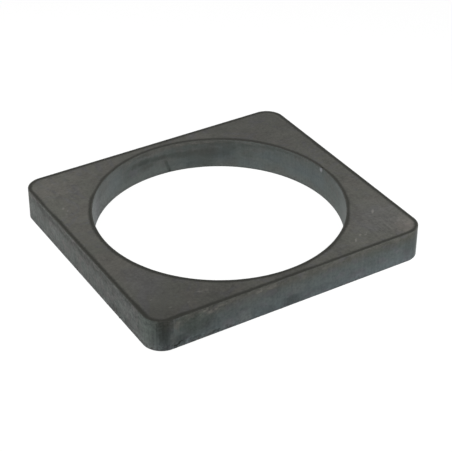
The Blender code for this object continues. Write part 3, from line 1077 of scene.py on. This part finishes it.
# Painted light from the table, lighter towards the foot
colour = stretch(inner, colour, ramp(inner, depth, *HOLE_PAINTED_FLOOR_LIGHT))
tints = hole_marks(inner, unrolled, HOLE_TINTS)
wavy_depth = number(inner, "SUBTRACT", THICKNESS, split(inner, unrolled)["Z"])
fringe_sizes = (3.5 * MM, 3.5 * MM, 1.2 * MM)
frayed = frayed_tint(inner, place, wavy_depth, fringe_sizes, 0.52, (1.9 * MM, 0.7 * MM), 0.16)
colour = blend(inner, number(inner, "MAXIMUM", tints, frayed), colour, HEAT_TINT)
colour = blend(inner, hole_marks(inner, unrolled, HOLE_PALE, 0.9), colour, PALE_SLAG_AND_PAINTED_LIGHT)
colour = stretch(inner, colour, level)
off_line = number(inner, "SUBTRACT", around, LEAD_IN_ANGLE * HOLE_RADIUS)
off_line = number(inner, "SUBTRACT", off_line, number(inner, "MULTIPLY", z, math.tan(LEAD_IN_LEAN)))
off_line = number(inner, "ABSOLUTE", off_line)
in_line = ramp(inner, off_line, LEAD_IN_SOOT_FROM, LEAD_IN_SOOT_TO, 0.0, LEAD_IN_SOOT, smooth=True)
run_in = number(inner, "MULTIPLY", in_line, ramp(inner, z, 1.1 * LEAD_IN_HEIGHT, 0.85 * LEAD_IN_HEIGHT))
dark_marks = number(inner, "MAXIMUM", hole_marks(inner, unrolled, HOLE_SOOT), run_in)
colour = blend(inner, number(inner, "MAXIMUM", dark_marks, burnt_ends(inner, depth)), colour, SOOT_AND_PAINTED_SHADE)
chip_place = (HOLE_RADIUS * CHIP_ANGLE, 0.0, THICKNESS - BARE_CHIP_DEPTH)
bare = mark(inner, laid_flat, chip_place, BARE_CHIP_SIZES, BARE_CHIP_SHARE)
colour = blend(inner, bare, colour, BARE_STEEL)
finish_wall(inner, inner_shader, colour, streaks)

# THE DROSS BEADS
# Beads of slag that froze on the lower edge as the beam left the steel, thickest by the near corner.
# They are welded to the cut wall and stand out from it by a fraction of a millimetre.

BEAD_COLOUR = (0.135, 0.132, 0.120, 1)
BEAD_DARK = (0.050, 0.050, 0.045, 1)
BEAD_PATCH = 0.9 * MM
dross_sizes = {
    "Length": PLATE_LENGTH + 2 * CUT_TAPER,
    "Width": PLATE_WIDTH + 2 * CUT_TAPER,
    "Corner Radius": CORNER_RADIUS + CUT_TAPER,
    "Columns": 900,
    "Bead Radius": 0.26 * MM,
    "Spread": 1.5 * MM,
    "Crowded From": -48 * MM,
    "Crowded To": -29 * MM,
    "Crowded Share": 0.75,
    "Plain Share": 0.10,
    "Seed": 7,
}

dross_skin = bpy.data.materials.new("dross")
dross, size, dross_end = node_tree("dross_beads", dross_sizes)
pairs = [("Curve", outline_path(dross, size, 0.0))]
points = add(dross, "GeometryNodeCurveToPoints", pairs, mode="EVALUATED").outputs["Points"]
position = dross.nodes.new("GeometryNodeInputPosition").outputs[0]
x, y, _ = split(dross, position)


def chance(low, high, offset):
    """A random number for each bead, from the tree's seed."""
    pairs = [(2, low), (3, high), ("Seed", number(dross, "ADD", size["Seed"], offset))]
    return add(dross, "FunctionNodeRandomValue", pairs, data_type="FLOAT").outputs[1]


front = number(dross, "LESS_THAN", y, number(dross, "MULTIPLY", size["Width"], -0.49))
crowded = number(dross, "MULTIPLY", front, number(dross, "GREATER_THAN", x, size["Crowded From"]))
crowded = number(dross, "MULTIPLY", crowded, number(dross, "LESS_THAN", x, size["Crowded To"]))
share = ramp(dross, crowded, 0.0, 1.0, size["Plain Share"], size["Crowded Share"])
kept = number(dross, "LESS_THAN", chance(0.0, 1.0, 1), share)
rise = number(dross, "MULTIPLY", number(dross, "POWER", chance(0.0, 1.0, 2), 2.0), size["Spread"])
rise = along(dross, z=number(dross, "ADD", rise, size["Bead Radius"]))
raised = add(dross, "GeometryNodeSetPosition", [("Geometry", points), ("Offset", rise)]).outputs[0]
pairs = [("Vector", outline_facing(dross, size, position))]
aim = add(dross, "FunctionNodeAlignRotationToVector", pairs, axis="Y").outputs[0]
tall = number(dross, "MULTIPLY", chance(0.35, 1.0, 3), size["Bead Radius"])
wide = number(dross, "MULTIPLY", tall, chance(0.9, 1.9, 4))
bead_size = along(dross, wide, number(dross, "MULTIPLY", tall, 0.55), tall)
bead = add(dross, "GeometryNodeMeshUVSphere", [("Segments", 8), ("Rings", 5), ("Radius", 1.0)]).outputs[0]
pairs = [("Points", raised), ("Selection", kept), ("Instance", bead), ("Rotation", aim), ("Scale", bead_size)]
beads = add(dross, "GeometryNodeInstanceOnPoints", pairs).outputs[0]
beads = add(dross, "GeometryNodeRealizeInstances", [("Geometry", beads)]).outputs[0]
beads = add(dross, "GeometryNodeSetShadeSmooth", [("Geometry", beads)]).outputs[0]
beads = add(dross, "GeometryNodeSetMaterial", [("Geometry", beads), ("Material", dross_skin)]).outputs[0]
dross.links.new(beads, dross_end["Geometry"])

tree, shader, place = surface(dross_skin)
patches = noise(tree, place, BEAD_PATCH)
colour = blend(tree, ramp(tree, patches, 0.4, 0.6), BEAD_DARK, BEAD_COLOUR)
tree.links.new(colour, shader.inputs["Base Color"])
shader.inputs["Roughness"].default_value = WALL_ROUGHNESS
shader.inputs["Specular IOR Level"].default_value = SCALE_GLOSS
beads = grown("dross_beads", dross, dross_sizes)
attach(beads, "root")
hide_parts("locking_plate")

# THE FLOOR
# A plain white table that the plate lies on. It keeps the plate's soft shadow.

FLOOR_SIZE = 6.0
FLOOR_GAP = 0.02 * MM
FLOOR_COLOUR = (0.8, 0.8, 0.8, 1)
FLOOR_GLOW = 1.1
GLOW_SHARE = 0.86

bpy.ops.mesh.primitive_plane_add(size=FLOOR_SIZE, location=(0, 0, -FLOOR_GAP))
floor = bpy.context.object
floor.name = "floor"
floor_paint = bpy.data.materials.new("floor_paint")
floor_paint.use_nodes = True
paint = floor_paint.node_tree
paint.nodes.clear()


def seen_rays(tree):
    """1 for a ray from the camera, a reflection or glass, and 0 for light that fills."""
    rays = tree.nodes.new("ShaderNodeLightPath").outputs
    return together(tree, [rays[name] for name in ("Is Camera Ray", "Is Glossy Ray", "Is Transmission Ray")])


matt = add(paint, "ShaderNodeBsdfDiffuse", [("Color", FLOOR_COLOUR)]).outputs[0]
glow = add(paint, "ShaderNodeEmission", [("Strength", FLOOR_GLOW)]).outputs[0]
share = number(paint, "MULTIPLY", seen_rays(paint), GLOW_SHARE)
mixed = add(paint, "ShaderNodeMixShader", [(0, share), (1, matt), (2, glow)]).outputs[0]
paint.links.new(mixed, paint.nodes.new("ShaderNodeOutputMaterial").inputs["Surface"])
floor.data.materials.append(floor_paint)

# THE STUDIO
# White walls all round, seen by the camera and in reflections.
# Small soft boxes stand close by on the left and the right, and wide ones overhead and in front.

FILL_STRENGTH = 0.02
# Azimuth and elevation in degrees, distance and width in metres, power in watts
SOFT_BOXES = {
    "left": (148.6, 36, 0.23, 0.16, 0.33),
    "right": (323.6, 40, 0.20, 0.14, 0.235),
    "overhead": (0.0, 90, 0.70, 0.40, 0.64),
    "front": (238.6, 50, 0.70, 0.40, 1.08),
}

world = bpy.data.worlds.new("studio")
bpy.context.scene.world = world
world.use_nodes = True
walls = world.node_tree
walls.nodes.clear()
strength = ramp(walls, seen_rays(walls), 0.0, 1.0, FILL_STRENGTH, 1.0)
backdrop = add(walls, "ShaderNodeBackground", [("Strength", strength)]).outputs[0]
walls.links.new(backdrop, walls.nodes.new("ShaderNodeOutputWorld").inputs["Surface"])
for name, (azimuth, elevation, distance, width, power) in SOFT_BOXES.items():
    turn, lift = math.radians(azimuth), math.radians(elevation)
    out = Vector((math.cos(turn) * math.cos(lift), math.sin(turn) * math.cos(lift), math.sin(lift)))
    lamp = bpy.data.lights.new(name + "_soft_box", "AREA")
    lamp.size = width
    lamp.energy = power
    box = bpy.data.objects.new(name + "_soft_box", lamp)
    box.location = out * distance
    box.rotation_euler = out.to_track_quat("Z", "Y").to_euler()
    box.visible_camera = False
    bpy.context.scene.collection.objects.link(box)

# THE CAMERA
# It looks down across the plate's near left corner, from about half a metre away.

CAMERA_AZIMUTH = math.radians(-31.4276)
CAMERA_ELEVATION = math.radians(34.1255)
CAMERA_ROLL = math.radians(0.206)
CAMERA_DISTANCE = 512.78 * MM
CAMERA_SIDESTEP = 2.39 * MM
CAMERA_RISE = -7.65 * MM
LENS = 112.99

back = Vector(
    (
        math.sin(CAMERA_AZIMUTH) * math.cos(CAMERA_ELEVATION),
        -math.cos(CAMERA_AZIMUTH) * math.cos(CAMERA_ELEVATION),
        math.sin(CAMERA_ELEVATION),
    )
)
sideways = Vector((math.cos(CAMERA_AZIMUTH), math.sin(CAMERA_AZIMUTH), 0))
upright = back.cross(sideways)
right = sideways * math.cos(CAMERA_ROLL) + upright * math.sin(CAMERA_ROLL)
up = upright * math.cos(CAMERA_ROLL) - sideways * math.sin(CAMERA_ROLL)
lens = bpy.data.cameras.new("camera")
lens.lens = LENS
camera = bpy.data.objects.new("camera", lens)
camera.matrix_world = Matrix((right, up, back)).transposed().to_4x4()
aimed_at = Vector((0, 0, THICKNESS)) + right * CAMERA_SIDESTEP + up * CAMERA_RISE
camera.location = aimed_at + back * CAMERA_DISTANCE
bpy.context.scene.collection.objects.link(camera)
bpy.context.scene.camera = camera
bpy.context.scene.view_settings.view_transform = "Standard"
